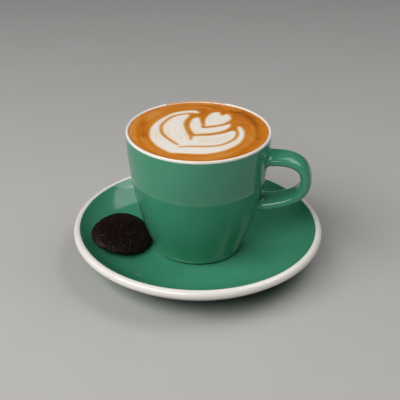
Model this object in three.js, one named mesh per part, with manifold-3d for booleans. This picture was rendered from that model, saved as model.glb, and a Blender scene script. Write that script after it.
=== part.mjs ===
// A latte in a green glazed cup on its saucer, with one dark chocolate biscuit beside the cup.
// Units are millimetres, +Z is up, the origin is the centre of the saucer's foot ring,
// and the handle points along +X.

import * as THREE from 'three';
import { mergeVertices } from 'three/addons/utils/BufferGeometryUtils.js';
import Module from 'manifold-3d';

const wasm = await Module();
wasm.setup();

// Round pieces
const ROUND_STEPS = 64;

// Saucer
const SAUCER_LIP_CENTRE_RADIUS = 69.2;
const SAUCER_LIP_CENTRE_HEIGHT = 18.2;
const SAUCER_LIP_ROUNDING = 2.5;
const SAUCER_WELL_RADIUS = 30;
const SAUCER_WELL_HEIGHT = 7;
const SAUCER_FOOT_OUTER_RADIUS = 40;
const SAUCER_FOOT_WIDTH = 3.6;
const SAUCER_FOOT_RECESS = 2.6;

// Cup
const SEAT_GAP = 0.05;
const CUP_FOOT_RADIUS = 24.2;
const CUP_FOOT_WIDTH = 3;
const CUP_FOOT_RECESS = 1.2;
const CUP_FOOT_HEIGHT = 0.8;
const CUP_CORNER_RADIUS = 26.3;
const CUP_LIP_RADIUS = 40;
const CUP_HEIGHT_ABOVE_TABLE = 79.5;
const CUP_LIP_ROUNDING = 0.8;
const CUP_WALL = 3;
const CUP_FLOOR = 4.5;

// Handle: a strap that leaves the cup below the lip and comes back lower and a little inward
const HANDLE_REACH = 60.4;
const HANDLE_BEND_HEIGHT = 53.5;
const HANDLE_TOP_HEIGHT = 65.3;
const HANDLE_LOW_HEIGHT = 37.9;
const HANDLE_TOP_ROOT_RADIUS = 37.2;
const HANDLE_LOW_ROOT_RADIUS = 33.6;
const STRAP_THICKNESS_ABOVE = 5.8;
const STRAP_THICKNESS_BELOW = 6.8;
const STRAP_WIDTH_AT_BEND = 14.3;
const STRAP_WIDTH_AT_ROOTS = 16.8;
const STRAP_ROOT_FLARE = 0.12;
const STRAP_ROOT_FLARE_LENGTH = 3;
const STRAP_ROUNDING_POWER = 2.6;
const STRAP_STEPS = 30;
const STRAP_SIDES = 16;

// Coffee and foam
const COFFEE_LEVEL = 78.6;
const COFFEE_GAP = 0.3;
const FOAM_THICKNESS = 0.35;
const FOAM_GAP = 0.05;
const FOAM_TURN = -19.7;

// Biscuit
const BISCUIT_PLACE = new THREE.Vector3(-42.6, -10.7, 14.15);
const BISCUIT_SIZE_OUTWARD = 32.9;
const BISCUIT_SIZE_SIDEWAYS = 45.7;
const BISCUIT_THICKNESS = 8.4;
const BISCUIT_LOBES = 0.044;
const BISCUIT_EDGE_POWER = 0.75;
const BISCUIT_LEAN = -8.3;
const BISCUIT_TILT = 16.8;
const BISCUIT_TURN = -16.1;
const BISCUIT_RELIEF = 0.3;

// Glazes and foods
const greenGlaze = new THREE.MeshStandardMaterial({ color: 0x2f6f55, roughness: 0.16, metalness: 0 });
const saucerGlaze = greenGlaze.clone();
const crema = new THREE.MeshStandardMaterial({ color: 0xb87026, roughness: 0.38, metalness: 0 });
const milkFoam = new THREE.MeshStandardMaterial({ color: 0xe8e0d2, roughness: 0.5, metalness: 0 });
const bakedCocoa = new THREE.MeshStandardMaterial({ color: 0x1c0f0b, roughness: 0.7, metalness: 0 });

// A point in a lathe's half plane: radius from the axis, height above the table.
const at = (radius, height) => new THREE.Vector2(radius, height);

// The points along a smooth outline through four guide points, the first and last of which it meets.
const sweep = (guides, steps) => new THREE.CubicBezierCurve(...guides).getPoints(steps);

// Points on a round edge, from one angle to another in degrees, anticlockwise if the second is larger.
function roundEdge(centre, rounding, fromDegrees, toDegrees, steps) {
  const points = [];
  for (let i = 0; i <= steps; i += 1) {
    const angle = THREE.MathUtils.degToRad(fromDegrees + ((toDegrees - fromDegrees) * i) / steps);
    points.push(at(centre.x + rounding * Math.cos(angle), centre.y + rounding * Math.sin(angle)));
  }
  return points;
}

// A turned body: the outline goes up the outside and comes back down the inside.
function turned(outline) {
  const geometry = new THREE.LatheGeometry(outline, ROUND_STEPS);
  geometry.rotateX(Math.PI / 2);
  return joined(geometry);
}

// The same surface with its shared vertices merged, so that it is one closed skin facing outwards.
function joined(geometry) {
  geometry.deleteAttribute('normal');
  geometry.deleteAttribute('uv');
  const merged = mergeVertices(geometry, 1e-4);
  const place = merged.getAttribute('position');
  const index = merged.getIndex();
  const whole = [];
  const a = new THREE.Vector3();
  const b = new THREE.Vector3();
  const c = new THREE.Vector3();
  let volume = 0;
  for (let i = 0; i < index.count; i += 3) {
    const corners = [index.getX(i), index.getX(i + 1), index.getX(i + 2)];
    if (new Set(corners).size === 3) {
      whole.push(corners);
      a.fromBufferAttribute(place, corners[0]);
      b.fromBufferAttribute(place, corners[1]);
      c.fromBufferAttribute(place, corners[2]);
      volume += a.dot(b.cross(c));
    }
  }
  merged.setIndex(whole.map((corners) => (volume < 0 ? corners.reverse() : corners)).flat());
  return merged;
}

function toSolid(geometry) {
  return new wasm.Manifold(new wasm.Mesh({
    numProp: 3,
    vertProperties: new Float32Array(geometry.getAttribute('position').array),
    triVerts: new Uint32Array(geometry.getIndex().array),
  }));
}

function toGeometry(solid) {
  const mesh = solid.getMesh();
  const geometry = new THREE.BufferGeometry();
  geometry.setAttribute('position', new THREE.BufferAttribute(mesh.vertProperties, 3));
  geometry.setIndex(new THREE.BufferAttribute(mesh.triVerts, 1));
  return geometry;
}

// A skin over rows of points: each row is a closed loop, and the first and last rows are capped.
function skinOverLoops(loops) {
  const sides = loops[0].length;
  const positions = loops.flat().flatMap((point) => [point.x, point.y, point.z]);
  const triangles = [];
  for (let row = 0; row + 1 < loops.length; row += 1) {
    for (let side = 0; side < sides; side += 1) {
      const next = (side + 1) % sides;
      const low = row * sides;
      const high = low + sides;
      triangles.push(low + side, low + next, high + next);
      triangles.push(low + side, high + next, high + side);
    }
  }
  for (const [row, flip] of [[0, true], [loops.length - 1, false]]) {
    const middle = new THREE.Vector3();
    loops[row].forEach((point) => middle.addScaledVector(point, 1 / sides));
    const hub = positions.length / 3;
    positions.push(middle.x, middle.y, middle.z);
    for (let side = 0; side < sides; side += 1) {
      const here = row * sides + side;
      const next = row * sides + ((side + 1) % sides);
      triangles.push(...(flip ? [hub, next, here] : [hub, here, next]));
    }
  }
  const geometry = new THREE.BufferGeometry();
  geometry.setAttribute('position', new THREE.Float32BufferAttribute(positions, 3));
  geometry.setIndex(triangles);
  return joined(geometry);
}

// Saucer: a flat well for the cup, a slope that steepens to a thick rounded lip, a foot ring below.
function saucerGeometry() {
  const lip = at(SAUCER_LIP_CENTRE_RADIUS, SAUCER_LIP_CENTRE_HEIGHT);
  const innerEdge = roundEdge(lip, SAUCER_LIP_ROUNDING, 128, -62, 10);
  const lipStart = innerEdge[0];
  const lipEnd = innerEdge[innerEdge.length - 1];
  const footInnerRadius = SAUCER_FOOT_OUTER_RADIUS - SAUCER_FOOT_WIDTH;
  const slope = sweep([
    at(SAUCER_WELL_RADIUS, SAUCER_WELL_HEIGHT),
    at(46, SAUCER_WELL_HEIGHT + 0.5),
    at(60, 12.2),
    lipStart,
  ], 9);
  const underside = sweep([
    lipEnd,
    at(64, 9.2),
    at(54, 3.4),
    at(SAUCER_FOOT_OUTER_RADIUS + 1, SAUCER_FOOT_RECESS),
  ], 6);
  return turned([
    at(0, SAUCER_WELL_HEIGHT),
    ...slope,
    ...innerEdge.slice(1, -1),
    ...underside,
    at(SAUCER_FOOT_OUTER_RADIUS, 0.6),
    at(SAUCER_FOOT_OUTER_RADIUS - 0.6, 0),
    at(footInnerRadius + 0.6, 0),
    at(footInnerRadius, 0.6),
    at(footInnerRadius - 0.8, SAUCER_FOOT_RECESS),
    at(0, SAUCER_FOOT_RECESS),
  ]);
}

// Cup: the outside of the wall, from the corner above the foot to just under the lip.
const CUP_BASE = SAUCER_WELL_HEIGHT + SEAT_GAP;
const wallOutside = new THREE.CubicBezierCurve(
  at(CUP_CORNER_RADIUS, 9),
  at(26.6, 13.6),
  at(38.3, 32.1),
  at(CUP_LIP_RADIUS, CUP_HEIGHT_ABOVE_TABLE - 2.2),
);

function wallRadiusAt(height) {
  const points = wallOutside.getPoints(60);
  const above = points.findIndex((point) => point.y >= height);
  if (above < 0) return CUP_LIP_RADIUS;
  if (above === 0) return CUP_CORNER_RADIUS;
  const below = points[above - 1];
  const share = (height - below.y) / (points[above].y - below.y);
  return THREE.MathUtils.lerp(below.x, points[above].x, share);
}

const hollowFloor = CUP_BASE + CUP_FLOOR;

// The hollow's outline, drawn in by a gap for what fills it.
function hollowOutline(gap, top) {
  const wall = [];
  const wallFoot = hollowFloor + 7;
  for (let step = 0; step <= 7; step += 1) {
    const height = THREE.MathUtils.lerp(wallFoot, top - 6, step / 7);
    wall.push(at(wallRadiusAt(height) - CUP_WALL - gap, height));
  }
  const corner = at(wall[0].x - 7, wallFoot);
  return [
    at(0, hollowFloor + gap),
    ...roundEdge(corner, 7, -90, -15, 4).map((point) => at(point.x - gap * 0.3, point.y + gap)),
    ...wall,
  ];
}

function cupOuterOutline() {
  const wall = [];
  const bottom = wallOutside.v0.y;
  const top = wallOutside.v3.y;
  for (let step = 0; step <= 11; step += 1) {
    const height = THREE.MathUtils.lerp(bottom, top, step / 11);
    wall.push(at(wallRadiusAt(height), height));
  }
  wall[0].x = CUP_CORNER_RADIUS;
  return wall;
}

// Handle: rounded flat strap swept along its centre line in the plane of the cup's axis.
function handleGeometry() {
  const centreLine = new THREE.CurvePath();
  const bend = at(HANDLE_REACH, HANDLE_BEND_HEIGHT);
  centreLine.add(new THREE.CubicBezierCurve(
    at(HANDLE_TOP_ROOT_RADIUS, HANDLE_TOP_HEIGHT),
    at(49.9, HANDLE_TOP_HEIGHT + 1.9),
    at(HANDLE_REACH, 65.6),
    bend,
  ));
  centreLine.add(new THREE.CubicBezierCurve(
    bend,
    at(HANDLE_REACH, 45.8),
    at(52.8, 39),
    at(HANDLE_LOW_ROOT_RADIUS, HANDLE_LOW_HEIGHT - 0.3),
  ));
  const length = centreLine.getLength();
  const loops = [];
  for (let step = 0; step <= STRAP_STEPS; step += 1) {
    const share = step / STRAP_STEPS;
    const centre = centreLine.getPointAt(share);
    const ahead = centreLine.getPointAt(Math.min(1, share + 0.004));
    const behind = centreLine.getPointAt(Math.max(0, share - 0.004));
    const along = ahead.sub(behind).normalize();
    const fromRoot = Math.min(share, 1 - share) * length;
    const flare = 1 + STRAP_ROOT_FLARE * Math.exp(-Math.max(0, fromRoot - 2) / STRAP_ROOT_FLARE_LENGTH);
    const towardsRoot = (2 * share - 1) ** 2;
    const width = THREE.MathUtils.lerp(STRAP_WIDTH_AT_BEND, STRAP_WIDTH_AT_ROOTS, towardsRoot);
    const thickness = THREE.MathUtils.lerp(STRAP_THICKNESS_ABOVE, STRAP_THICKNESS_BELOW, share);
    const loop = [];
    for (let side = 0; side < STRAP_SIDES; side += 1) {
      const angle = (2 * Math.PI * side) / STRAP_SIDES;
      const across = rounded(Math.cos(angle)) * (width / 2) * flare;
      const outward = rounded(Math.sin(angle)) * (thickness / 2) * flare;
      loop.push(new THREE.Vector3(centre.x - along.y * outward, across, centre.y + along.x * outward));
    }
    loops.push(loop);
  }
  return skinOverLoops(loops);
}

const rounded = (value) => Math.sign(value) * Math.abs(value) ** (2 / STRAP_ROUNDING_POWER);

function cupGeometry() {
  const lipCentre = at(CUP_LIP_RADIUS - CUP_LIP_ROUNDING, CUP_HEIGHT_ABOVE_TABLE - CUP_LIP_ROUNDING);
  const body = turned([
    at(0, CUP_BASE + CUP_FOOT_RECESS),
    at(CUP_FOOT_RADIUS - CUP_FOOT_WIDTH, CUP_BASE + CUP_FOOT_RECESS),
    at(CUP_FOOT_RADIUS - CUP_FOOT_WIDTH, CUP_BASE),
    at(CUP_FOOT_RADIUS, CUP_BASE),
    at(CUP_FOOT_RADIUS, CUP_BASE + CUP_FOOT_HEIGHT),
    at(CUP_CORNER_RADIUS - 0.9, CUP_BASE + CUP_FOOT_HEIGHT + 0.2),
    ...cupOuterOutline(),
    ...roundEdge(lipCentre, CUP_LIP_ROUNDING, 0, 180, 6),
    at(lipCentre.x - CUP_LIP_ROUNDING - 4, CUP_HEIGHT_ABOVE_TABLE - 6),
    at(0, CUP_HEIGHT_ABOVE_TABLE - 6),
  ]);
  const crest = CUP_HEIGHT_ABOVE_TABLE;
  const inside = hollowOutline(0, crest);
  const hollow = turned([
    ...inside,
    at(lipCentre.x - CUP_LIP_ROUNDING, lipCentre.y),
    at(lipCentre.x - CUP_LIP_ROUNDING, crest + 5),
    at(0, crest + 5),
  ]);
  return toGeometry(toSolid(body).add(toSolid(handleGeometry())).subtract(toSolid(hollow)));
}

// Coffee: fills the hollow to just under the lip, clear of the wall by the gap.
function coffeeGeometry() {
  const edge = CUP_LIP_RADIUS - 2 * CUP_LIP_ROUNDING - COFFEE_GAP - 0.2;
  return turned([
    ...hollowOutline(COFFEE_GAP, CUP_HEIGHT_ABOVE_TABLE),
    at(edge, COFFEE_LEVEL),
    at(0, COFFEE_LEVEL),
  ]);
}

// Foam: the poured tulip, four flat layers, each outline drawn with the tulip's stem along +Y.
const FOAM_LAYERS = {
  foam_crescent: [
    [-8.9, 20.9], [-15.8, 19.6], [-20.8, 12.6], [-24.0, 0.3], [-23.2, -11.2], [-18.3, -19.2],
    [-8.0, -29.6], [2.1, -33.3], [12.0, -30.0], [21.0, -18.9], [26.6, -9.4], [27.2, 0.6],
    [24.4, 9.6], [19.5, 12.4], [20.4, 6.0], [22.4, -3.6], [18.8, -15.5], [12.0, -24.0],
    [2.1, -25.3], [-7.4, -22.2], [-16.4, -12.8], [-19.6, -1.2], [-17.4, 8.4], [-10.6, 15.6],
    [-5.2, 18.6],
  ],
  foam_wings: [
    [-12.2, 13.2], [-15.6, 3.4], [-17.4, -4.6], [-14.4, -14.0], [-6.8, -20.4], [2.0, -23.6],
    [10.8, -22.6], [17.2, -14.6], [20.6, -4.6], [19.0, 5.4], [16.2, 3.0], [13.4, -7.8],
    [5.8, -14.8], [1.6, -14.6], [-4.0, -9.6], [-8.6, -1.4], [-9.8, 7.8],
  ],
  foam_leaves: [
    [-6.8, 11.0], [-9.0, 6.6], [-7.9, 1.4], [-4.4, -3.6], [1.2, -8.2], [6.6, -7.4],
    [12.4, -2.6], [14.4, 11.0], [9.6, 9.6], [7.0, 3.4], [2.6, 1.2], [1.0, 2.8], [-1.0, 7.4],
    [-3.4, 11.4],
  ],
  foam_heart: [
    [1.9, 3.6], [0.6, 8.6], [-2.4, 13.6], [-3.4, 18.4], [-1.2, 22.4], [2.0, 23.6], [3.4, 21.4],
    [6.6, 22.6], [9.6, 19.6], [9.8, 15.4], [8.6, 9.4], [5.4, 5.2],
  ],
};

function foamGeometry(outline) {
  const points = outline.map(([x, y]) => new THREE.Vector2(x, y));
  const curve = new THREE.SplineCurve([...points, points[0]]);
  const shape = new THREE.Shape(curve.getPoints(points.length * 2).slice(0, -1));
  const geometry = new THREE.ExtrudeGeometry(shape, { depth: FOAM_THICKNESS, bevelEnabled: false, steps: 1 });
  geometry.rotateZ(THREE.MathUtils.degToRad(FOAM_TURN));
  geometry.translate(0, 0, COFFEE_LEVEL + FOAM_GAP);
  return joined(geometry);
}

// Biscuit: a hand-formed oval, a little three-sided, domed above and flatter below, with a rough skin.
function biscuitGeometry() {
  const around = 44;
  const upward = 17;
  const loops = [];
  for (let row = 1; row < upward; row += 1) {
    const climb = -Math.PI / 2 + (Math.PI * row) / upward;
    const loop = [];
    for (let side = 0; side < around; side += 1) {
      const angle = (2 * Math.PI * side) / around;
      const plan = 1 + BISCUIT_LOBES * Math.cos(angle * 3);
      const reach = Math.abs(Math.cos(climb)) ** BISCUIT_EDGE_POWER;
      const crumbs = Math.sin(angle * 7 + row * 1.9) * Math.cos(angle * 11 - row * 2.3);
      const rough = plan + (BISCUIT_RELIEF * crumbs * reach) / (BISCUIT_SIZE_OUTWARD / 2);
      const height = Math.sin(climb) * (BISCUIT_THICKNESS / 2) * (climb < 0 ? 0.92 : 1);
      loop.push(new THREE.Vector3(
        Math.cos(angle) * (BISCUIT_SIZE_OUTWARD / 2) * reach * rough,
        Math.sin(angle) * (BISCUIT_SIZE_SIDEWAYS / 2) * reach * rough,
        height + BISCUIT_RELIEF * crumbs * 0.5,
      ));
    }
    loops.push(loop);
  }
  const geometry = skinOverLoops(loops);
  geometry.rotateX(THREE.MathUtils.degToRad(BISCUIT_LEAN));
  geometry.rotateY(THREE.MathUtils.degToRad(BISCUIT_TILT));
  geometry.rotateZ(THREE.MathUtils.degToRad(BISCUIT_TURN));
  geometry.translate(BISCUIT_PLACE.x, BISCUIT_PLACE.y, BISCUIT_PLACE.z);
  return geometry;
}

function piece(name, geometry, material) {
  const mesh = new THREE.Mesh(geometry, material);
  mesh.name = name;
  return mesh;
}

const latte = new THREE.Group();
latte.add(piece('saucer', saucerGeometry(), saucerGlaze));
latte.add(piece('cup', cupGeometry(), greenGlaze));
latte.add(piece('coffee', coffeeGeometry(), crema));
for (const [name, outline] of Object.entries(FOAM_LAYERS)) {
  latte.add(piece(name, foamGeometry(outline), milkFoam));
}
latte.add(piece('biscuit', biscuitGeometry(), bakedCocoa));

export default latte;
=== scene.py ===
# A milk coffee with a poured tulip, in a green glazed stoneware cup on its saucer,
# with one dark cocoa biscuit beside the cup. Sizes are in millimetres unless a name says otherwise,
# +Z is up, the origin is the centre of the saucer's foot ring and the cup's handle points along +X.

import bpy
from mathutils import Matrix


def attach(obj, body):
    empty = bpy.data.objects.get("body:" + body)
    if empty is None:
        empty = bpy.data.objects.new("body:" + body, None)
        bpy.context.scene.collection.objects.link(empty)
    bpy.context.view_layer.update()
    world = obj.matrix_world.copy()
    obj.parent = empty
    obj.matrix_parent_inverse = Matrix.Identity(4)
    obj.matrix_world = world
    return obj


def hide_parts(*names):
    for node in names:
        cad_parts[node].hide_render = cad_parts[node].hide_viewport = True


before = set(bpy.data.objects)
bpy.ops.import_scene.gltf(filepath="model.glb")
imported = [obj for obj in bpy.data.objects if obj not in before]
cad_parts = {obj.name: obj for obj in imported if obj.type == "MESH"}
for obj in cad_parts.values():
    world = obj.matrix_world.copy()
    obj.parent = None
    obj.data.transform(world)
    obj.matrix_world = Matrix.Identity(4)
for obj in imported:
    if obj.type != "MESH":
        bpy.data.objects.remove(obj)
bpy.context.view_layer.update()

import math

import bpy
import numpy as np
from mathutils import Euler, Vector, noise

# The saucer
# A thick round stoneware saucer, pressed on a plaster mould: a flat well for the cup, a slope that
# steepens to a rounded lip, and a foot ring below. It is dipped green, and its lip is dipped white.
MM = 0.001
SAUCER_LIP_CENTRE = (69.2, 18.2)
SAUCER_LIP_ROUNDING = 2.49
SAUCER_WELL_RADIUS = 30
SAUCER_WELL_HEIGHT = 7
SAUCER_FOOT_OUTER = 40
SAUCER_FOOT_INNER = 36.4
SAUCER_FOOT_RECESS = 2.6
SAUCER_WHITE_FROM = 68.0
SAUCER_BARE_BELOW = 0.25
SAUCER_AROUND = 288
WHITE_EDGE_WAVER = 0.3
WHITE_EDGE_BLUR = 0.3
GREEN_DEEP = "#3f8e6e"
GREEN_THIN = "#559f81"
WHITE_GLAZE = "#ece7df"
BARE_CLAY = "#c9b79e"


def bezier(guides, steps):
    """Points on a smooth outline through four guides, of which it meets the first and the last."""
    a, b, c, d = (np.array(guide, float) for guide in guides)
    t = np.linspace(0, 1, steps + 1)[:, None]
    return a * (1 - t) ** 3 + 3 * b * t * (1 - t) ** 2 + 3 * c * t**2 * (1 - t) + d * t**3


def round_edge(centre, rounding, start, stop, steps):
    """Points on a round edge from one angle in degrees to another."""
    angle = np.radians(np.linspace(start, stop, steps + 1))
    return np.stack([centre[0] + rounding * np.cos(angle), centre[1] + rounding * np.sin(angle)], 1)


def piece_of(name, places, faces, painted, material):
    """A smooth mesh object from places in millimetres, with a named value at each place."""
    mesh = bpy.data.meshes.new(name)
    mesh.from_pydata((np.asarray(places, float) * MM).tolist(), [], faces)
    mesh.shade_smooth()
    for title, values in painted.items():
        layer = mesh.attributes.new(title, "FLOAT", "POINT")
        layer.data.foreach_set("value", np.asarray(values, np.float32))
    mesh.materials.append(material)
    made = bpy.data.objects.new(name, mesh)
    bpy.context.scene.collection.objects.link(made)
    return made


def turned(outline, around):
    """Places and faces of a turned body, whose outline runs from the axis and back to it, outside first."""
    outline = np.asarray(outline, float)
    angle = 2 * np.pi * np.arange(around) / around
    ring = outline[1:-1]
    rows = len(ring)
    x = ring[:, 0][:, None] * np.cos(angle)
    y = ring[:, 0][:, None] * np.sin(angle)
    z = np.repeat(ring[:, 1][:, None], around, 1)
    places = np.stack([x, y, z], -1).reshape(-1, 3)
    places = np.vstack([places, [0, 0, outline[0, 1]], [0, 0, outline[-1, 1]]])
    start = rows * around
    faces = []
    for row in range(rows - 1):
        for step in range(around):
            low = row * around + step
            next_low = row * around + (step + 1) % around
            faces.append((low, next_low, next_low + around, low + around))
    for step in range(around):
        after = (step + 1) % around
        faces.append((start, after, step))
        faces.append((start + 1, start - around + step, start - around + after))
    return places, faces


def around_outline(values, around):
    """One value for each place of a turned body, from one for each point of its outline."""
    values = np.asarray(values, float)
    return np.concatenate([np.repeat(values[1:-1], around), values[:1], values[-1:]])


def add_node(tree, kind, inputs=None, **settings):
    """Adds a node, sets its properties, and fills or links its inputs."""
    made = tree.nodes.new(kind)
    for key, value in settings.items():
        setattr(made, key, value)
    for key, value in (inputs or {}).items():
        if isinstance(value, bpy.types.NodeSocket):
            tree.links.new(value, made.inputs[key])
        else:
            made.inputs[key].default_value = value
    return made


def linear(code):
    """An sRGB hex colour as the linear colour that a shader takes."""
    parts = [int(code[i : i + 2], 16) / 255 for i in (1, 3, 5)]
    return [c / 12.92 if c <= 0.04045 else ((c + 0.055) / 1.055) ** 2.4 for c in parts] + [1.0]


def new_material(name):
    """An empty material, its node tree and its output."""
    material = bpy.data.materials.new(name)
    material.use_nodes = True
    tree = material.node_tree
    tree.nodes.clear()
    return material, tree, add_node(tree, "ShaderNodeOutputMaterial")


def glazed_stoneware(name):
    """Stoneware dipped in a glossy green glaze, its lip dipped in white.

    The glaze is glassy and a little thicker in some places than in others, so its green drifts
    slightly. It lies in a faint orange peel, and its white edge wavers a little.
    """
    material, tree, output = new_material(name)
    place = add_node(tree, "ShaderNodeTexCoord").outputs["Object"]
    past_edge = add_node(tree, "ShaderNodeAttribute", attribute_name="white_past_edge").outputs["Fac"]
    bare = add_node(tree, "ShaderNodeAttribute", attribute_name="bare_clay").outputs["Fac"]
    # Pooling about 22 mm across, and a wavering of the white edge about 6 mm long and 0.15 mm deep.
    pooling = add_node(tree, "ShaderNodeTexNoise", {"Vector": place, "Scale": 45.0, "Detail": 2.0})
    waver = add_node(tree, "ShaderNodeTexNoise", {"Vector": place, "Scale": 160.0, "Detail": 1.0})
    edge = add_node(
        tree,
        "ShaderNodeMath",
        {0: waver.outputs["Fac"], 1: WHITE_EDGE_WAVER, 2: past_edge},
        operation="MULTIPLY_ADD",
    )
    white = add_node(
        tree,
        "ShaderNodeMapRange",
        {"Value": edge.outputs[0], "From Min": 0.0, "From Max": WHITE_EDGE_BLUR},
        interpolation_type="SMOOTHSTEP",
    )
    drift = add_node(
        tree,
        "ShaderNodeMapRange",
        {"Value": pooling.outputs["Fac"], "From Min": 0.35, "From Max": 0.75, "To Max": 0.3},
    )
    green = add_node(
        tree,
        "ShaderNodeMix",
        {"Factor": drift.outputs[0], 6: linear(GREEN_DEEP), 7: linear(GREEN_THIN)},
        data_type="RGBA",
    )
    glaze = add_node(
        tree,
        "ShaderNodeMix",
        {"Factor": white.outputs[0], 6: green.outputs[2], 7: linear(WHITE_GLAZE)},
        data_type="RGBA",
    )
    colour = add_node(
        tree,
        "ShaderNodeMix",
        {"Factor": bare, 6: glaze.outputs[2], 7: linear(BARE_CLAY)},
        data_type="RGBA",
    )
    gloss = add_node(
        tree,
        "ShaderNodeMapRange",
        {"Value": pooling.outputs["Fac"], "From Min": 0.3, "From Max": 0.7, "To Min": 0.07, "To Max": 0.13},
    )
    roughness = add_node(
        tree, "ShaderNodeMath", {0: bare, 1: 0.6, 2: gloss.outputs[0]}, operation="MULTIPLY_ADD"
    )
    # Orange peel: soft dimples about 3 mm apart, a few thousandths of a millimetre deep.
    peel = add_node(tree, "ShaderNodeTexNoise", {"Vector": place, "Scale": 330.0, "Detail": 1.5})
    bump = add_node(
        tree, "ShaderNodeBump", {"Height": peel.outputs["Fac"], "Strength": 0.25, "Distance": 0.00006}
    )
    shader = add_node(
        tree,
        "ShaderNodeBsdfPrincipled",
        {
            "Base Color": colour.outputs[2],
            "Roughness": roughness.outputs[0],
            "IOR": 1.52,
            "Normal": bump.outputs["Normal"],
        },
    )
    tree.links.new(shader.outputs["BSDF"], output.inputs["Surface"])
    return material


lip_arc = round_edge(SAUCER_LIP_CENTRE, SAUCER_LIP_ROUNDING, -62, 128, 44)
saucer_outline = np.vstack(
    [
        [(0, SAUCER_FOOT_RECESS), (SAUCER_FOOT_INNER - 3.4, SAUCER_FOOT_RECESS)],
        bezier([(SAUCER_FOOT_INNER - 2, 2.6), (36.0, 2.6), (36.1, 2.2), (36.4, 0.9)], 8),
        round_edge((SAUCER_FOOT_INNER + 0.8, 0.8), 0.8, 190, 270, 6),
        round_edge((SAUCER_FOOT_OUTER - 0.8, 0.8), 0.8, 270, 350, 6),
        bezier([(40.1, 1.2), (40.3, 2.3), (40.7, 2.6), (42.2, 2.7)], 8),
        bezier([(42.6, 2.72), (54, 3.4), (64, 9.2), lip_arc[0]], 30)[:-1],
        lip_arc,
        bezier([lip_arc[-1], (60, 12.2), (46, 7.5), (SAUCER_WELL_RADIUS, SAUCER_WELL_HEIGHT)], 48)[1:],
        [(24, 7), (12, 7), (0, SAUCER_WELL_HEIGHT)],
    ]
)
places, faces = turned(saucer_outline, SAUCER_AROUND)
on_foot = (saucer_outline[:, 1] < SAUCER_BARE_BELOW) & (saucer_outline[:, 0] > SAUCER_FOOT_INNER)
past_white = saucer_outline[:, 0] - SAUCER_WHITE_FROM - WHITE_EDGE_WAVER / 2
saucer = piece_of(
    "glazed_saucer",
    places,
    faces,
    {
        "white_past_edge": around_outline(past_white, SAUCER_AROUND),
        "bare_clay": around_outline(on_foot, SAUCER_AROUND),
    },
    glazed_stoneware("saucer_stoneware_dipped_in_green_and_white_glaze"),
)
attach(saucer, "root")
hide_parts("saucer")

# The cup
# A stoneware cup cast in a mould, flared from a narrow foot to a thin lip, with a strap handle stuck
# on while the clay was damp. It is dipped green, and its lip and inside are white.
CUP_BASE = 7.05
CUP_FOOT_OUTER = 24.2
CUP_FOOT_INNER = 21.2
CUP_LIP_CENTRE = (39.2, 78.7)
CUP_LIP_ROUNDING = 0.8
CUP_WALL = 3
CUP_FLOOR_HEIGHT = 11.55
CUP_WHITE_FROM = 78.6
CUP_BARE_BELOW = 0.12
CUP_AROUND = 320
FAR_INTO_WHITE = 4.0
FAR_FROM_WHITE = 9
STRAP_THICKNESS_ABOVE = 5.8
STRAP_THICKNESS_BELOW = 6.8
STRAP_WIDTH_AT_BEND = 14.3
STRAP_WIDTH_AT_ROOTS = 16.8
STRAP_ROUNDING_POWER = 2.6
STRAP_SIDES = 56
STRAP_STEPS = 110
STRAP_WITHIN_WALL = 8
ROOT_FILLET = 2.4

wall_outline = bezier([(26.3, 9), (26.6, 13.6), (38.3, 32.1), (40, 77.3)], 400)


def wall_radius(height):
    """The radius of the cup's outside at a height."""
    return np.interp(height, wall_outline[:, 1], wall_outline[:, 0])


wall_heights = np.linspace(9, 77.3, 90)
wall = np.stack([wall_radius(wall_heights), wall_heights], 1)
foot = np.vstack(
    [
        [(0, CUP_BASE + 1.2), (CUP_FOOT_INNER - 1.2, CUP_BASE + 1.2)],
        bezier([(20.4, 8.25), (20.9, 8.25), (21.1, 8.0), (21.2, 7.6)], 5),
        round_edge((CUP_FOOT_INNER + 0.4, CUP_BASE + 0.4), 0.4, 190, 270, 5),
        round_edge((CUP_FOOT_OUTER - 0.4, CUP_BASE + 0.4), 0.4, 270, 350, 5),
        bezier([(24.25, 7.7), (24.3, 8.1), (25.0, 8.02), (25.5, 8.1)], 6),
        bezier([(25.7, 8.16), (26.0, 8.26), (26.22, 8.5), (26.29, 8.8)], 5),
    ]
)
inner_heights = np.linspace(72.0, CUP_FLOOR_HEIGHT + 7.4, 30)
inner_wall = np.stack([wall_radius(inner_heights) - CUP_WALL, inner_heights], 1)
inside = np.vstack(
    [
        bezier([(38.4, 78.6), (38.4, 77.4), (37.2, 75.5), inner_wall[0]], 12)[:-1],
        inner_wall,
        round_edge((inner_wall[-1, 0] - 7, CUP_FLOOR_HEIGHT + 7), 7, -2, -90, 12),
        [(12, CUP_FLOOR_HEIGHT), (0, CUP_FLOOR_HEIGHT)],
    ]
)
lip = round_edge(CUP_LIP_CENTRE, CUP_LIP_ROUNDING, 0, 180, 28)
cup_outline = np.vstack([foot, wall, [(40.0, 78.2)], lip, inside])
body_places, body_faces = turned(cup_outline, CUP_AROUND)
is_inside = np.arange(len(cup_outline)) >= len(foot) + len(wall) + 1
above_edge = cup_outline[:, 1] - CUP_WHITE_FROM - WHITE_EDGE_WAVER / 2
past_edge = np.where(is_inside, FAR_INTO_WHITE, above_edge)
under_foot = cup_outline[:, 1] < CUP_BASE + CUP_BARE_BELOW

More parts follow.
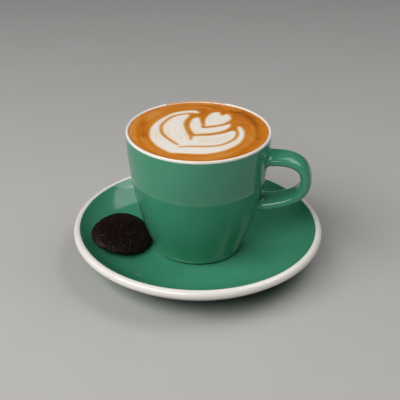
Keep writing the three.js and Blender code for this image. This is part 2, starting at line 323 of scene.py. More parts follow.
# The handle's centre line goes out from the wall below the lip, bends down and comes back in lower.
# It is carried on a little way into the wall at both ends, where its root rings are taken from.
strap_line = np.vstack(
    [
        [(29.3, 64.1), (33.2, 64.7)],
        bezier([(37.2, 65.3), (49.9, 67.2), (60.4, 65.6), (60.4, 53.5)], 300)[:-1],
        bezier([(60.4, 53.5), (60.4, 45.8), (52.8, 39), (33.6, 37.6)], 300),
        [(29.6, 37.3), (25.6, 37.0)],
    ]
)
strap_length = np.concatenate([[0], np.cumsum(np.linalg.norm(np.diff(strap_line, axis=0), axis=1))])
strap_ahead = np.gradient(strap_line, strap_length, axis=0)
strap_ahead /= np.linalg.norm(strap_ahead, axis=1)[:, None]
strap_in_view = strap_length[-1] - 2 * STRAP_WITHIN_WALL
strap_share = np.clip((strap_length - STRAP_WITHIN_WALL) / strap_in_view, 0, 1)
strap_widening = STRAP_WIDTH_AT_ROOTS - STRAP_WIDTH_AT_BEND
strap_width = STRAP_WIDTH_AT_BEND + strap_widening * (2 * strap_share - 1) ** 2
strap_thickness = STRAP_THICKNESS_ABOVE + (STRAP_THICKNESS_BELOW - STRAP_THICKNESS_ABOVE) * strap_share
side_angle = 2 * np.pi * np.arange(STRAP_SIDES) / STRAP_SIDES
across = np.sign(np.cos(side_angle)) * np.abs(np.cos(side_angle)) ** (2 / STRAP_ROUNDING_POWER)
outward = np.sign(np.sin(side_angle)) * np.abs(np.sin(side_angle)) ** (2 / STRAP_ROUNDING_POWER)


def strap_skin(grown):
    """The strap's surface, grown by an amount: rows along it, sides round it."""
    half_across = (strap_width / 2 + grown)[:, None]
    out = (strap_thickness / 2 + grown)[:, None] * outward[None, :]
    x = strap_line[:, 0][:, None] - strap_ahead[:, 1][:, None] * out
    z = strap_line[:, 1][:, None] + strap_ahead[:, 0][:, None] * out
    return np.stack([x, half_across * across[None, :], z], -1)


def off_wall(skin):
    """How far each place is from the cup's outside."""
    return np.hypot(skin[..., 0], skin[..., 1]) - wall_radius(skin[..., 2])


def root_row(distance, from_top):
    """The ring of the handle that is this far off the wall, spread by the fillet of glaze and clay."""
    reach = np.clip(ROOT_FILLET - distance, 0, ROOT_FILLET)
    skin = strap_skin(ROOT_FILLET - math.sqrt(ROOT_FILLET**2 - reach**2))
    gap = off_wall(skin)
    if not from_top:
        skin = skin[::-1]
        gap = gap[::-1]
    first = np.argmax(gap > distance, axis=0)
    side = np.arange(STRAP_SIDES)
    share = (distance - gap[first - 1, side]) / (gap[first, side] - gap[first - 1, side])
    return skin[first - 1, side] + (skin[first, side] - skin[first - 1, side]) * share[:, None]


fillet_steps = [-1.2, -0.4, 0.0, 0.015, 0.06, 0.14, 0.26, 0.42, 0.62, 0.88, 1.2, 1.6, 2.0, ROOT_FILLET]
top_rows = [root_row(distance, True) for distance in fillet_steps]
low_rows = [root_row(distance, False) for distance in fillet_steps][::-1]
plain = strap_skin(0.0)
plain_gap = off_wall(plain)
first_free = np.argmax(plain_gap > ROOT_FILLET, axis=0)
last_free = len(plain) - 1 - np.argmax(plain_gap[::-1] > ROOT_FILLET, axis=0)
middle_rows = []
for step in range(1, STRAP_STEPS):
    row = first_free + (last_free - first_free) * step / STRAP_STEPS
    low = np.floor(row).astype(int)
    part = (row - low)[:, None]
    side = np.arange(STRAP_SIDES)
    middle_rows.append(plain[low, side] * (1 - part) + plain[low + 1, side] * part)
rows = np.array(top_rows + middle_rows + low_rows)
handle_places = np.vstack([rows.reshape(-1, 3), rows[0].mean(0), rows[-1].mean(0)])
handle_faces = []
for row in range(len(rows) - 1):
    for side in range(STRAP_SIDES):
        a = row * STRAP_SIDES + side
        b = row * STRAP_SIDES + (side + 1) % STRAP_SIDES
        handle_faces.append((a, b, b + STRAP_SIDES, a + STRAP_SIDES))
hub = len(rows) * STRAP_SIDES
for side in range(STRAP_SIDES):
    after = (side + 1) % STRAP_SIDES
    handle_faces.append((hub, after, side))
    handle_faces.append((hub + 1, hub - STRAP_SIDES + side, hub - STRAP_SIDES + after))
shift = len(body_places)
handle_faces = [tuple(corner + shift for corner in face) for face in handle_faces]
none_on_handle = np.zeros(len(handle_places))
cup = piece_of(
    "glazed_cup",
    np.vstack([body_places, handle_places]),
    body_faces + handle_faces,
    {
        "white_past_edge": np.concatenate(
            [around_outline(past_edge, CUP_AROUND), none_on_handle - FAR_FROM_WHITE]
        ),
        "bare_clay": np.concatenate([around_outline(under_foot, CUP_AROUND), none_on_handle]),
    },
    glazed_stoneware("cup_stoneware_dipped_in_green_and_white_glaze"),
)
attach(cup, "root")
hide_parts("cup")

# The coffee
# Espresso and steamed milk, poured to the brim. Its crema is a fine brown foam, pulled into rings by the
# pour; it clings to the cup in a raised edge, and at the back it wets the top of the lip.
COFFEE_LEVEL = 78.6
COFFEE_EDGE = 38.75
COFFEE_CLIMB = 0.2
COFFEE_CLIMB_AT = 38.5
COFFEE_CLIMB_REACH = 0.75
COFFEE_CELLS = 256
POUR_SHIFT = (-0.5, 2.5)
MARBLING_BLUR = 2.0
BRIM_FROM = 63
BRIM_TO = 140
BRIM_FADE = 14
BRIM_STEPS = 8
WET_FROM_ANGLE = 152
WET_ANGLE = 92
BUBBLES_FROM = 33.0
BUBBLES_FADE = 4.0
CREMA = "#c7751c"
CREMA_DARK = "#8c450a"
CREMA_MILKY = "#da9c55"
CREMA_EDGE = "#d49a55"


def smooth_line(guides, steps, closed):
    """A smooth line through rows of guide values."""
    rows = np.array(guides, float)
    if closed:
        rows = np.vstack([rows[-1:], rows, rows[:2]])
    else:
        rows = np.vstack([2 * rows[0] - rows[1], rows, 2 * rows[-1] - rows[-2]])
    t = np.linspace(0, 1, steps, endpoint=False)[:, None]
    parts = []
    for a, b, c, d in zip(rows, rows[1:], rows[2:], rows[3:]):
        bend = (2 * a - 5 * b + 4 * c - d) * t**2 + (3 * b - a - 3 * c + d) * t**3
        parts.append(0.5 * (2 * b + (c - a) * t + bend))
    if not closed:
        parts.append(rows[-2:-1])
    return np.vstack(parts)


def within(spots, outline):
    """How deep each spot lies within a closed outline; outside it the depth is negative."""
    depth = np.full(len(spots), 1e9)
    inside_it = np.zeros(len(spots), bool)
    for start, stop in zip(outline, np.roll(outline, -1, 0)):
        along = stop - start
        share = np.clip((spots - start) @ along / (along @ along + 1e-12), 0, 1)
        gap = np.hypot(*(spots - start - share[:, None] * along).T)
        depth = np.minimum(depth, gap)
        crosses = (start[1] > spots[:, 1]) != (stop[1] > spots[:, 1])
        if abs(along[1]) > 1e-9:
            meets = start[0] + (spots[:, 1] - start[1]) * along[0] / along[1]
            inside_it ^= crosses & (spots[:, 0] < meets)
    return np.where(inside_it, depth, -depth)


def from_stroke(spots, stroke):
    """How far each spot is from a stroke whose rows are x, y and half width; within it, negative."""
    nearest = np.full(len(spots), 1e9)
    for start, stop in zip(stroke, stroke[1:]):
        along = stop[:2] - start[:2]
        share = np.clip((spots - start[:2]) @ along / (along @ along + 1e-12), 0, 1)
        gap = np.hypot(*(spots - start[:2] - share[:, None] * along).T)
        nearest = np.minimum(nearest, gap - start[2] - share * (stop[2] - start[2]))
    return nearest


# The poured tulip: a crescent with two wings that meet at its stem, two leaves and a heart.
TULIP_BASE = [
    (-2.8, 20.8), (-3.4, 23.0), (-5.6, 24.4), (-8.9, 23.9), (-13.3, 21.9), (-18.1, 18.3), (-21.7, 12.4),
    (-24.2, 6.9), (-25.7, 1.3), (-26.2, -4.2), (-25.7, -9.8), (-24.2, -15.9), (-21.7, -20.9),
    (-18.3, -25.6), (-14.4, -29.2), (-10.6, -31.9), (-8.6, -32.5), (-5.0, -32.2), (0.0, -32.0),
    (5.6, -31.4), (10.0, -30.2), (14.4, -27.7), (18.9, -23.9), (22.5, -19.2), (25.0, -14.2),
    (26.1, -9.2), (26.3, -4.8), (25.7, 0.2), (24.2, 4.4), (22.6, 6.7), (21.2, 6.6), (20.8, 5.0),
    (21.2, 2.6), (20.8, 0.6), (19.4, 0.9), (17.6, -0.2), (14.4, -2.6), (10.0, -5.3), (6.7, -7.0),
    (3.3, -7.8), (0.3, -8.9), (-1.4, -9.8), (-3.1, -8.7), (-4.7, -4.8), (-6.4, -0.3), (-7.8, 4.7),
    (-7.9, 9.7), (-6.9, 13.6), (-6.8, 16.6), (-8.2, 18.2), (-6.0, 19.6),
]
TULIP_LEAVES = [
    (-2.8, 15.0), (-5.0, 13.3), (-6.0, 10.2), (-6.1, 5.8), (-5.6, 1.9), (-4.2, -2.0), (-2.8, -4.8),
    (-1.5, -7.3), (0.3, -7.6), (3.3, -6.5), (6.7, -5.6), (10.0, -3.9), (12.8, -2.0), (15.3, 0.8),
    (16.9, 4.1), (17.3, 6.9), (16.7, 9.5), (15.2, 8.7), (13.2, 6.9), (11.2, 5.4), (8.5, 3.8),
    (5.8, 2.6), (3.6, 1.6), (2.2, 1.6), (1.7, 3.0), (1.4, 5.2), (0.4, 8.6), (-0.6, 11.9), (-1.5, 14.6),
]
TULIP_HEART = [
    (2.9, 3.4), (2.2, 6.9), (1.7, 10.8), (1.8, 14.7), (2.5, 18.6), (3.7, 21.9), (5.6, 23.8), (7.8, 24.3),
    (9.2, 23.1), (10.0, 20.6), (10.9, 20.8), (11.8, 22.0), (13.6, 22.3), (15.3, 20.5), (16.3, 17.4),
    (16.1, 14.1), (14.8, 10.8), (12.8, 8.4), (10.0, 6.2), (7.2, 4.9), (4.4, 3.5),
]
# Crema left between the pours: x, y and half the width of the line.
CREMA_LINES = [
    [(-4.4, 18.9, 0.59), (-6.4, 19.6, 0.59), (-8.9, 19.2, 0.48), (-13.3, 16.8, 0.44), (-16.7, 13.7, 0.44),
     (-18.9, 9.1, 0.44), (-20.3, 4.1, 0.46), (-20.6, -0.9, 0.46), (-19.7, -5.3, 0.46), (-18.1, -9.8, 0.46),
     (-15.3, -13.9, 0.44), (-12.2, -17.3, 0.43), (-9.4, -20.2, 0.37), (-7.6, -21.9, 0.11)],
    [(-6.0, -24.4, 0.04), (-2.2, -23.3, 0.22), (1.1, -22.6, 0.3), (5.6, -22.0, 0.31), (10.0, -20.9, 0.3),
     (13.9, -19.2, 0.33), (17.2, -16.4, 0.37), (19.7, -12.8, 0.41), (21.4, -9.2, 0.44), (22.1, -5.3, 0.44),
     (21.9, -2.0, 0.48), (20.9, 1.3, 0.67)],
    [(-6.6, 17.4, 0.96), (-6.9, 13.6, 0.89), (-7.8, 9.7, 0.81), (-7.7, 4.7, 0.81), (-6.4, -0.3, 0.78),
     (-4.7, -4.8, 0.74), (-3.1, -8.7, 0.63), (-2.1, -12.0, 0.37), (-1.9, -14.6, 0.04)],
    [(-1.6, -9.0, 0.15), (0.3, -8.8, 0.37), (3.3, -7.8, 0.55), (6.7, -7.0, 0.59), (10.0, -5.3, 0.7),
     (13.3, -3.1, 0.85), (16.1, -0.3, 0.96), (17.9, 2.6, 1.04)],
    [(-0.9, 17.4, 0.67), (0.3, 13.0, 0.52), (1.1, 9.9, 0.44), (2.0, 6.5, 0.37), (2.5, 3.6, 0.26),
     (2.4, 1.6, 0.04)],
    [(3.3, 2.3, 0.07), (6.1, 3.4, 0.22), (8.9, 4.6, 0.37), (11.7, 6.5, 0.52), (14.0, 8.9, 0.59),
     (15.4, 11.4, 0.59)],
]
# How the pour marbled the crema: x, y and half the width of a soft streak, then how milky it is.
MARBLING = [
    (0.55, [(-31.0, 6.0, 1.0), (-28.0, 17.0, 1.2), (-21.0, 25.0, 1.4), (-10.0, 29.0, 1.1), (2.0, 29.0, 0.9)]),
    (0.35, [(-36.2, 9.0, 0.8), (-36.6, 0.0, 0.9), (-35.6, -9.0, 0.8), (-32.0, -19.0, 0.7)]),
    (0.45, [(-30.0, 24.0, 1.6), (-22.0, 31.0, 2.2), (-10.0, 35.5, 2.4), (4.0, 36.8, 2.0), (14.0, 34.5, 1.5)]),
    (0.3, [(29.3, 8.0, 0.7), (30.4, -3.0, 0.8), (28.6, -13.0, 0.8), (23.0, -24.0, 0.8), (12.0, -33.0, 0.8)]),
    (0.3, [(-26.0, -20.0, 0.9), (-20.0, -28.0, 1.1), (-12.0, -34.0, 1.0), (0.0, -36.6, 1.0),
           (12.0, -35.6, 0.8)]),
    (-0.6, [(14.0, 26.5, 2.0), (22.0, 24.0, 3.0), (28.5, 16.0, 2.6), (31.5, 5.0, 1.8), (33.0, -8.0, 1.2)]),
    (-0.35, [(-31.5, 8.0, 1.8), (-31.0, -3.0, 2.0), (-28.0, -14.0, 1.4)]),
    (-0.4, [(-26.0, 20.5, 0.9), (-17.0, 27.2, 1.0), (-6.0, 30.6, 0.8), (6.0, 31.2, 1.0)]),
    (-0.35, [(-1.0, 27.0, 1.6), (0.0, 21.0, 1.8), (-0.4, 17.0, 1.2)]),
    (-0.3, [(24.0, -26.0, 1.2), (30.0, -18.0, 1.2), (34.5, -6.0, 1.0)]),
]

cell = np.linspace(-1, 1, COFFEE_CELLS + 1)
grid_a, grid_b = (axis.ravel() for axis in np.meshgrid(cell, cell))
wide = np.abs(grid_a) > np.abs(grid_b)
safe_a = np.where(wide, grid_a, 1)
safe_b = np.where(wide | (grid_b == 0), 1, grid_b)
reach = np.where(wide, grid_a, grid_b)
turn = np.where(wide, np.pi / 4 * grid_b / safe_a, np.pi / 2 - np.pi / 4 * grid_a / safe_b)
spots = COFFEE_EDGE * np.stack([reach * np.cos(turn), reach * np.sin(turn)], 1)
# The pour's guides are drawn round its own middle, a little off the cup's axis.
poured = spots - POUR_SHIFT
base_depth = within(poured, smooth_line(TULIP_BASE, 6, True))
leaf_depth = within(poured, smooth_line(TULIP_LEAVES, 6, True))
heart_depth = within(poured, smooth_line(TULIP_HEART, 6, True))
foam_depth = np.maximum(np.maximum(base_depth, leaf_depth), heart_depth)
for stroke in CREMA_LINES:
    foam_depth = np.minimum(foam_depth, from_stroke(poured, smooth_line(stroke, 5, False)))
milky = np.zeros(len(spots))
for strength, stroke in MARBLING:
    line = smooth_line(stroke, 6, False)
    off_line = np.clip(from_stroke(poured, line) + line[:, 2].mean(), 0, None)
    milky += strength * np.exp(-(off_line**2) / MARBLING_BLUR**2)
out_from_middle = np.hypot(spots[:, 0], spots[:, 1])
level = COFFEE_LEVEL + COFFEE_CLIMB * np.exp((out_from_middle - COFFEE_CLIMB_AT) / COFFEE_CLIMB_REACH)

# The skin's edge, in order round the cup, then the wet brim, the side and the bottom.
index = np.arange((COFFEE_CELLS + 1) ** 2).reshape(COFFEE_CELLS + 1, -1)
edge_ring = np.concatenate([index[0, :-1], index[:-1, -1], index[-1, :0:-1], index[:0:-1, 0]])
edge_angle = np.arctan2(spots[edge_ring, 1], spots[edge_ring, 0])
degrees = np.degrees(edge_angle)
brim = np.clip((degrees - BRIM_FROM) / BRIM_FADE, 0, 1) * np.clip((BRIM_TO - degrees) / BRIM_FADE, 0, 1)
brim = brim * brim * (3 - 2 * brim)
coffee_rings = []
for step in range(1, BRIM_STEPS + 1):
    share = step / BRIM_STEPS
    film = 0.03 * brim * (1 - share**3) - 0.12 * (1 - brim) - 0.1 * share**3
    climb = np.radians(WET_FROM_ANGLE - WET_ANGLE * share * brim)
    radius = CUP_LIP_CENTRE[0] + (CUP_LIP_ROUNDING + film) * np.cos(climb) + 0.3 * share * (1 - brim)
    height = CUP_LIP_CENTRE[1] + (CUP_LIP_ROUNDING + film) * np.sin(climb) - 0.4 * share * (1 - brim)
    coffee_rings.append((radius, height))
for height in [76.6, 74.0, 68.0, 58.0, 48.0, 38.0, 29.0, 22.0, 18.95]:
    into_wall = 0.25 if height < 75 else 0.6
    radius = wall_radius(np.full(len(edge_ring), height)) - CUP_WALL + into_wall
    coffee_rings.append((radius, np.full(len(edge_ring), height)))
for point in round_edge((inner_wall[-1, 0] - 7, CUP_FLOOR_HEIGHT + 7), 7.2, -10, -90, 7):
    coffee_rings.append((np.full(len(edge_ring), point[0]), np.full(len(edge_ring), point[1])))
places = [np.column_stack([spots, level])]
for radius, height in coffee_rings:
    places.append(np.column_stack([radius * np.cos(edge_angle), radius * np.sin(edge_angle), height]))
places.append([[0, 0, CUP_FLOOR_HEIGHT - 0.2]])
places = np.vstack(places)
faces = []
for row in range(COFFEE_CELLS):
    for column in range(COFFEE_CELLS):
        a, b = index[row, column], index[row, column + 1]
        c, d = index[row + 1, column + 1], index[row + 1, column]
        faces.append((int(a), int(b), int(c), int(d)))
ring_size = len(edge_ring)
above = edge_ring
for ring in range(len(coffee_rings)):
    below = index.size + ring * ring_size + np.arange(ring_size)
    for a, b, c, d in zip(above, below, np.roll(below, -1), np.roll(above, -1)):
        faces.append((int(a), int(b), int(c), int(d)))
    above = below
for a, b in zip(above, np.roll(above, -1)):
    faces.append((int(b), int(a), len(places) - 1))


def crema_material():
    """Espresso crema, a wet foam of bubbles too fine to see.

    It is satin, marbled in rings from nut brown to milky tan, speckled by bubbles under half a
    millimetre, and where it meets the poured milk it fades through tan.
    """
    material, tree, output = new_material("crema_of_poured_espresso")
    place = add_node(tree, "ShaderNodeTexCoord").outputs["Object"]
    depth = add_node(tree, "ShaderNodeAttribute", attribute_name="foam_depth").outputs["Fac"]
    milky_here = add_node(tree, "ShaderNodeAttribute", attribute_name="milky").outputs["Fac"]
    ring = add_node(tree, "ShaderNodeAttribute", attribute_name="ring").outputs["Fac"]
    # Rings: streaks 1 to 3 mm wide that follow the pour, long round the cup.
    apart = add_node(tree, "ShaderNodeSeparateXYZ", {"Vector": place})
    ring_place = add_node(
        tree, "ShaderNodeCombineXYZ", {"X": ring, "Y": apart.outputs["X"], "Z": apart.outputs["Y"]}
    )
    stretched = add_node(
        tree, "ShaderNodeMapping", {"Vector": ring_place.outputs[0], "Scale": (0.55, 28.0, 28.0)}
    )
    streaks = add_node(
        tree,
        "ShaderNodeTexNoise",
        {"Vector": stretched.outputs[0], "Scale": 1.0, "Detail": 3.0, "Roughness": 0.55},
    )
    clouds = add_node(
        tree, "ShaderNodeTexNoise", {"Vector": place, "Scale": 130.0, "Detail": 3.0, "Distortion": 0.6}
    )
    streak_tone = add_node(
        tree,
        "ShaderNodeMapRange",
        {"Value": streaks.outputs["Fac"], "From Min": 0.3, "From Max": 0.7, "To Min": -0.28, "To Max": 0.28},
    )
    cloud_tone = add_node(
        tree,
        "ShaderNodeMapRange",
        {"Value": clouds.outputs["Fac"], "From Min": 0.3, "From Max": 0.7, "To Min": -0.14, "To Max": 0.14},
    )
    tone = add_node(tree, "ShaderNodeMath", {0: streak_tone.outputs[0], 1: cloud_tone.outputs[0]})
    tone = add_node(tree, "ShaderNodeMath", {0: tone.outputs[0], 1: milky_here})
    lighter = add_node(
        tree, "ShaderNodeMath", {0: tone.outputs[0], 1: 1.0}, operation="MULTIPLY", use_clamp=True
    )
    darker = add_node(
        tree, "ShaderNodeMath", {0: tone.outputs[0], 1: -1.0}, operation="MULTIPLY", use_clamp=True
    )
    milked = add_node(
        tree,
        "ShaderNodeMix",
        {"Factor": lighter.outputs[0], 6: linear(CREMA), 7: linear(CREMA_MILKY)},
        data_type="RGBA",
    )
    marbled = add_node(
        tree,
        "ShaderNodeMix",
        {"Factor": darker.outputs[0], 6: milked.outputs[2], 7: linear(CREMA_DARK)},
        data_type="RGBA",
    )
    halo = add_node(
        tree,
        "ShaderNodeMapRange",
        {"Value": depth, "From Min": -0.8, "From Max": 0.15},
        interpolation_type="SMOOTHSTEP",
    )
    haloed = add_node(
        tree,
        "ShaderNodeMix",
        {"Factor": halo.outputs[0], 6: marbled.outputs[2], 7: linear(CREMA_EDGE)},
        data_type="RGBA",
    )
    # Here and there near the cup's wall, single bubbles about a millimetre across stand out of the crema.
    at_wall = add_node(tree, "ShaderNodeAttribute", attribute_name="at_wall").outputs["Fac"]
    single = add_node(tree, "ShaderNodeTexVoronoi", {"Vector": place, "Scale": 620.0}, feature="F1")
    drawn = add_node(tree, "ShaderNodeSeparateColor", {"Color": single.outputs["Color"]})
    size = add_node(
        tree,
        "ShaderNodeMapRange",
        {"Value": drawn.outputs["Red"], "From Min": 0.62, "To Min": 0.0, "To Max": 0.42},
    )
    chance = add_node(
        tree, "ShaderNodeMath", {0: size.outputs[0], 1: at_wall}, operation="MULTIPLY", use_clamp=True
    )
    inside = add_node(
        tree, "ShaderNodeMath", {0: chance.outputs[0], 1: single.outputs["Distance"]}, operation="SUBTRACT"
    )
    dome = add_node(
        tree,
        "ShaderNodeMapRange",
        {"Value": inside.outputs[0], "From Min": 0.0, "From Max": 0.2},
        interpolation_type="SMOOTHSTEP",
    )
    bubbled = add_node(
        tree,
        "ShaderNodeMix",
        {"Factor": dome.outputs[0], 6: haloed.outputs[2], 7: linear(CREMA_MILKY)},
        data_type="RGBA",
    )
    # Bubbles about 0.5 mm apart, drawn a little coarser than most are, so that they show close up.
    bubbles = add_node(tree, "ShaderNodeTexVoronoi", {"Vector": place, "Scale": 1900.0}, feature="F1")
    swell = add_node(
        tree,
        "ShaderNodeMapRange",
        {"Value": bubbles.outputs["Distance"], "From Max": 0.6, "To Min": 1.0, "To Max": 0.0},
        interpolation_type="SMOOTHSTEP",
    )
    fine = add_node(
        tree, "ShaderNodeBump", {"Height": swell.outputs[0], "Strength": 0.25, "Distance": 0.00004}
    )
    bump = add_node(
        tree,
        "ShaderNodeBump",
        {"Height": dome.outputs[0], "Strength": 0.7, "Distance": 0.0003, "Normal": fine.outputs["Normal"]},
    )
    gloss = add_node(
        tree, "ShaderNodeMapRange", {"Value": dome.outputs[0], "To Min": 0.34, "To Max": 0.12}
    )
    shader = add_node(
        tree,
        "ShaderNodeBsdfPrincipled",
        {
            "Base Color": bubbled.outputs[2],
            "Roughness": gloss.outputs[0],
            "IOR": 1.36,
            "Normal": bump.outputs["Normal"],
        },
    )
    tree.links.new(shader.outputs["BSDF"], output.inputs["Surface"])
    return material


extra = len(places) - len(spots)
near_wall = np.clip((out_from_middle - BUBBLES_FROM) / BUBBLES_FADE, 0, 1)
edge_value = np.tile(milky[edge_ring], len(coffee_rings))
coffee = piece_of(
    "latte_with_crema",
    places,
    faces,
    {
        "foam_depth": np.concatenate([foam_depth, np.full(extra, -9.0)]),
        "milky": np.concatenate([milky, edge_value, [0.0]]),
        "ring": np.concatenate([-base_depth, np.tile(-base_depth[edge_ring], len(coffee_rings)), [0.0]]),
        "at_wall": np.concatenate([near_wall, np.zeros(extra)]),
    },
    crema_material(),
)
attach(coffee, "root")
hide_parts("coffee")

# The milk foam
# Steamed milk, poured as a tulip: it floats almost level in the crema, swells a little above it, and its
# edges sink away into it. It is white with a breath of coffee, silky, with a few tiny bubbles.
FOAM_SWELL = 0.16
FOAM_BELOW_CREMA = 0.05
FOAM_ROUND_FROM = 0.5
FOAM_ROUND_OFF = 1.5
FOAM_SINK = 0.45
FOAM_UNDERSIDE = 0.5
FOAM_WHITE = "#ece5db"
FOAM_TINTED = "#e6c692"

rise = np.clip((foam_depth + FOAM_ROUND_FROM) / FOAM_ROUND_OFF, 0, 1)
foam_top = level - FOAM_BELOW_CREMA + FOAM_SWELL * rise * rise * (3 - 2 * rise)
cell_depth = foam_depth[index]
corner_depth = np.maximum(
    np.maximum(cell_depth[:-1, :-1], cell_depth[:-1, 1:]), np.maximum(cell_depth[1:, :-1], cell_depth[1:, 1:])
)
kept = corner_depth > -FOAM_SINK
new_number = {}
faces = []
edges_seen = {}
for row, column in zip(*np.nonzero(kept)):
    corners = (index[row, column], index[row, column + 1], index[row + 1, column + 1], index[row + 1, column])
    numbers = [new_number.setdefault(int(corner), len(new_number)) for corner in corners]
    faces.append(tuple(numbers))
    for start, stop in zip(numbers, numbers[1:] + numbers[:1]):
        edges_seen[(start, stop)] = True
used = np.array(list(new_number))
count = len(used)
under = [tuple(corner + count for corner in reversed(face)) for face in faces]
sides = []
for start, stop in edges_seen:
    if (stop, start) not in edges_seen:
        sides.append((stop, start, start + count, stop + count))
top = np.column_stack([spots[used], foam_top[used]])
bottom = np.column_stack([spots[used], np.full(count, COFFEE_LEVEL - FOAM_UNDERSIDE)])


def milk_foam_material():
    """Steamed milk foam, a wet froth with bubbles far under a tenth of a millimetre.

    It is a warm white with a soft sheen, veined with tan along the pour, and it thins to tan at its
    edges, where crema shows through.
    """
    material, tree, output = new_material("poured_steamed_milk_foam")
    place = add_node(tree, "ShaderNodeTexCoord").outputs["Object"]
    depth = add_node(tree, "ShaderNodeAttribute", attribute_name="foam_depth").outputs["Fac"]
    streak_place = add_node(tree, "ShaderNodeCombineXYZ", {"X": depth, "Y": 0.0, "Z": 0.0})
    moved = add_node(
        tree,
        "ShaderNodeVectorMath",
        {0: place, 1: (90.0, 90.0, 90.0), 2: streak_place.outputs[0]},
        operation="MULTIPLY_ADD",
    )
    # Veins of tan milk, 1 to 2 mm wide, along the edges of each pour.
    streaks = add_node(tree, "ShaderNodeTexNoise", {"Vector": moved.outputs[0], "Scale": 0.8, "Detail": 3.0})
    tint = add_node(
        tree,
        "ShaderNodeMapRange",
        {"Value": streaks.outputs["Fac"], "From Min": 0.49, "From Max": 0.75, "To Max": 0.6},
    )
    body = add_node(
        tree,
        "ShaderNodeMix",
        {"Factor": tint.outputs[0], 6: linear(FOAM_WHITE), 7: linear(FOAM_TINTED)},
        data_type="RGBA",
    )
    thin = add_node(
        tree,
        "ShaderNodeMapRange",
        {"Value": depth, "From Min": -0.1, "From Max": 1.4, "To Min": 1.0, "To Max": 0.0},
        interpolation_type="SMOOTHSTEP",
    )
    colour = add_node(
        tree,
        "ShaderNodeMix",
        {"Factor": thin.outputs[0], 6: body.outputs[2], 7: linear(CREMA_EDGE)},
        data_type="RGBA",
    )
    froth = add_node(tree, "ShaderNodeTexVoronoi", {"Vector": place, "Scale": 2600.0}, feature="F1")
    bump = add_node(
        tree, "ShaderNodeBump", {"Height": froth.outputs["Distance"], "Strength": 0.2, "Distance": 0.00003}
    )
    shader = add_node(
        tree,
        "ShaderNodeBsdfPrincipled",
        {
            "Base Color": colour.outputs[2],
            "Roughness": 0.42,
            "IOR": 1.36,
            "Normal": bump.outputs["Normal"],
        },
    )
    tree.links.new(shader.outputs["BSDF"], output.inputs["Surface"])
    return material


foam = piece_of(
    "poured_milk_tulip",
    np.vstack([top, bottom]),
    faces + under + sides,
    {"foam_depth": np.tile(foam_depth[used], 2)},
    milk_foam_material(),
)
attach(foam, "root")
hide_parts("foam_crescent", "foam_wings", "foam_leaves", "foam_heart")

# The biscuit
# One dark cocoa biscuit, formed by hand to a slightly three-sided oval and baked on a tray: domed above
# and flatter below, dry, with a fine crumb. It leans on the saucer's slope.
BISCUIT_PLACE = (-42.6, -10.7, 14.15)
BISCUIT_SIZE_OUTWARD = 32.9
BISCUIT_SIZE_SIDEWAYS = 45.7
BISCUIT_THICKNESS = 8.4
BISCUIT_LOBES = 0.044
BISCUIT_EDGE_POWER = 0.75
BISCUIT_UNDERSIDE = 0.92
BISCUIT_LUMPS = 0.3
BISCUIT_CRUMB = 0.3
BISCUIT_PITS_FROM = 0.3
BISCUIT_LEAN = -8.3
BISCUIT_TILT = 16.8
BISCUIT_TURN = -16.1
BISCUIT_AROUND = 300
BISCUIT_UPWARD = 120
COCOA_DARK = "#130604"
COCOA_PAINTED_HIGHLIGHT = "#361710"


def baked_crumb(name):
    """A dry biscuit dark with cocoa, baked from a fine dough.

    It is nearly black and matt, with a grain of crumbs under a millimetre that catch the light, and
    its high crumbs are painted lighter, a painted highlight.
    """
    material, tree, output = new_material(name)
    place = add_node(tree, "ShaderNodeTexCoord").outputs["Object"]
    grain = add_node(
        tree, "ShaderNodeTexNoise", {"Vector": place, "Scale": 1100.0, "Detail": 3.0, "Roughness": 0.65}
    )
    crumbs = add_node(tree, "ShaderNodeTexVoronoi", {"Vector": place, "Scale": 900.0}, feature="F1")
    # Painted highlight: where the grain stands high, the cocoa is painted lighter, as if lit.
    painted_crumb_highlight = add_node(
        tree, "ShaderNodeMapRange", {"Value": grain.outputs["Fac"], "From Min": 0.45, "From Max": 0.75}
    )
    colour = add_node(
        tree,
        "ShaderNodeMix",
        {"Factor": painted_crumb_highlight.outputs[0], 6: linear(COCOA_DARK), 7: linear(COCOA_PAINTED_HIGHLIGHT)},
        data_type="RGBA",
    )
    relief = add_node(
        tree, "ShaderNodeMath", {0: grain.outputs["Fac"], 1: crumbs.outputs["Distance"]}, operation="SUBTRACT"
    )
    bump = add_node(
        tree, "ShaderNodeBump", {"Height": relief.outputs[0], "Strength": 1.0, "Distance": 0.00046}
    )
    shader = add_node(
        tree,
        "ShaderNodeBsdfPrincipled",
        {
            "Base Color": colour.outputs[2],
            "Roughness": 0.42,
            "IOR": 1.45,
            "Specular IOR Level": 0.28,
            "Normal": bump.outputs["Normal"],
        },
    )
    tree.links.new(shader.outputs["BSDF"], output.inputs["Surface"])
    return material


# Rings from the underside to the top, pushed out and in by lumps some 8 mm long, crumbs about 1 mm long
# and small pits.
biscuit_places = []
for row in range(1, BISCUIT_UPWARD):
    climb = -math.pi / 2 + math.pi * row / BISCUIT_UPWARD
    girth = math.cos(climb) ** BISCUIT_EDGE_POWER
    height = math.sin(climb) * BISCUIT_THICKNESS / 2 * (BISCUIT_UNDERSIDE if climb < 0 else 1)
    for step in range(BISCUIT_AROUND):
        angle = 2 * math.pi * step / BISCUIT_AROUND
        plan = girth * (1 + BISCUIT_LOBES * math.cos(3 * angle))
        biscuit_places.append(
            (
                math.cos(angle) * plan * BISCUIT_SIZE_OUTWARD / 2,
                math.sin(angle) * plan * BISCUIT_SIZE_SIDEWAYS / 2,
                height,
            )
        )
biscuit_places.append((0, 0, -BISCUIT_THICKNESS / 2 * BISCUIT_UNDERSIDE))
biscuit_places.append((0, 0, BISCUIT_THICKNESS / 2))
roughened = []
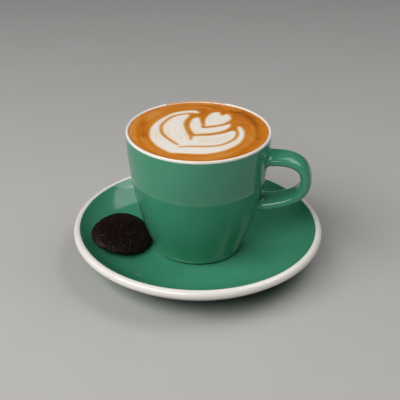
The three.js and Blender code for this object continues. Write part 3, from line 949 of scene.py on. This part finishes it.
for x, y, z in biscuit_places:
    spot = Vector((x, y, z))
    out = Vector((x * 0.3, y * 0.2, z * 3.0)).normalized()
    lumps = noise.fractal(spot * 0.13, 1.0, 2.0, 2, noise_basis="PERLIN_ORIGINAL")
    crumb = noise.fractal(spot * 0.85 + Vector((7, 3, 1)), 0.7, 2.1, 4, noise_basis="PERLIN_ORIGINAL")
    pits = max(0.0, noise.noise(spot * 0.7 + Vector((31, 5, 9))) - BISCUIT_PITS_FROM)
    roughened.append(spot + out * (lumps * BISCUIT_LUMPS + crumb * BISCUIT_CRUMB - pits))
lean = Euler((math.radians(BISCUIT_LEAN), 0, 0)).to_matrix()
tilt = Euler((0, math.radians(BISCUIT_TILT), 0)).to_matrix()
swing = Euler((0, 0, math.radians(BISCUIT_TURN))).to_matrix()
biscuit_places = [swing @ tilt @ lean @ spot + Vector(BISCUIT_PLACE) for spot in roughened]
faces = []
for row in range(BISCUIT_UPWARD - 2):
    for step in range(BISCUIT_AROUND):
        a = row * BISCUIT_AROUND + step
        b = row * BISCUIT_AROUND + (step + 1) % BISCUIT_AROUND
        faces.append((a, b, b + BISCUIT_AROUND, a + BISCUIT_AROUND))
hub = (BISCUIT_UPWARD - 1) * BISCUIT_AROUND
for step in range(BISCUIT_AROUND):
    after = (step + 1) % BISCUIT_AROUND
    faces.append((hub, after, step))
    faces.append((hub + 1, hub - BISCUIT_AROUND + step, hub - BISCUIT_AROUND + after))
biscuit = piece_of(
    "baked_cocoa_biscuit",
    [tuple(spot) for spot in biscuit_places],
    faces,
    {},
    baked_crumb("cocoa_biscuit_baked_dry"),
)
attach(biscuit, "root")
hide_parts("biscuit")

# The table, the light and the view
# A plain pale matt table, large soft lights from the upper left and from behind, and the photograph's view.
TABLE_SIZE = 3000
TABLE_PALE = "#b2b0ad"
TABLE_MOTTLE = "#b7b5b3"
LIGHTS_AIM = (0, 0, 40)
ROOM_GREY = 0.5
ROOM_STRENGTH = 0.04
VIEW_PLACE = (65.312, -412.363, 272.042)
VIEW_TURN = (60.3935, -0.4688, 9.1102)
VIEW_LENS = 75.311

table_material, tree, output = new_material("pale_matt_table_paint")
place = add_node(tree, "ShaderNodeTexCoord").outputs["Object"]
mottle = add_node(tree, "ShaderNodeTexNoise", {"Vector": place, "Scale": 25.0, "Detail": 4.0})
shade = add_node(
    tree,
    "ShaderNodeMix",
    {"Factor": mottle.outputs["Fac"], 6: linear(TABLE_PALE), 7: linear(TABLE_MOTTLE)},
    data_type="RGBA",
)
shader = add_node(tree, "ShaderNodeBsdfPrincipled", {"Base Color": shade.outputs[2], "Roughness": 0.85})
tree.links.new(shader.outputs["BSDF"], output.inputs["Surface"])
half = TABLE_SIZE / 2
table = piece_of(
    "table_top",
    [(-half, -half, 0), (half, -half, 0), (half, half, 0), (-half, half, 0)],
    [(0, 1, 2, 3)],
    {},
    table_material,
)


def soft_light(name, stands, size, watts):
    """A rectangular soft light at one place, turned to the middle of the cup."""
    data = bpy.data.lights.new(name, "AREA")
    data.shape = "RECTANGLE"
    data.size = size[0] * MM
    data.size_y = size[1] * MM
    data.energy = watts
    lamp = bpy.data.objects.new(name, data)
    lamp.location = Vector(stands) * MM
    lamp.rotation_euler = (Vector(LIGHTS_AIM) - Vector(stands)).to_track_quat("-Z", "Y").to_euler()
    lamp.visible_camera = False
    bpy.context.scene.collection.objects.link(lamp)


soft_light("key_softbox", (-374, -515, 676), (1000, 450), 8.2)
soft_light("right_softbox", (510, 81, 777), (450, 450), 1.9)
soft_light("left_fill", (-814, -57, 420), (450, 450), 0.8)
soft_light("back_softbox", (290, 362, 811), (460, 460), 1.35)
world = bpy.data.worlds.new("studio_dim")
bpy.context.scene.world = world
world.use_nodes = True
world.node_tree.nodes["Background"].inputs["Color"].default_value = (ROOM_GREY, ROOM_GREY, ROOM_GREY, 1)
world.node_tree.nodes["Background"].inputs["Strength"].default_value = ROOM_STRENGTH

view = bpy.data.cameras.new("view_from_the_front")
view.lens = VIEW_LENS
view.sensor_width = 36
view.clip_end = 20
camera = bpy.data.objects.new("view_from_the_front", view)
camera.location = Vector(VIEW_PLACE) * MM
camera.rotation_euler = [math.radians(angle) for angle in VIEW_TURN]
bpy.context.scene.collection.objects.link(camera)
bpy.context.scene.camera = camera
bpy.context.scene.view_settings.view_transform = "Standard"
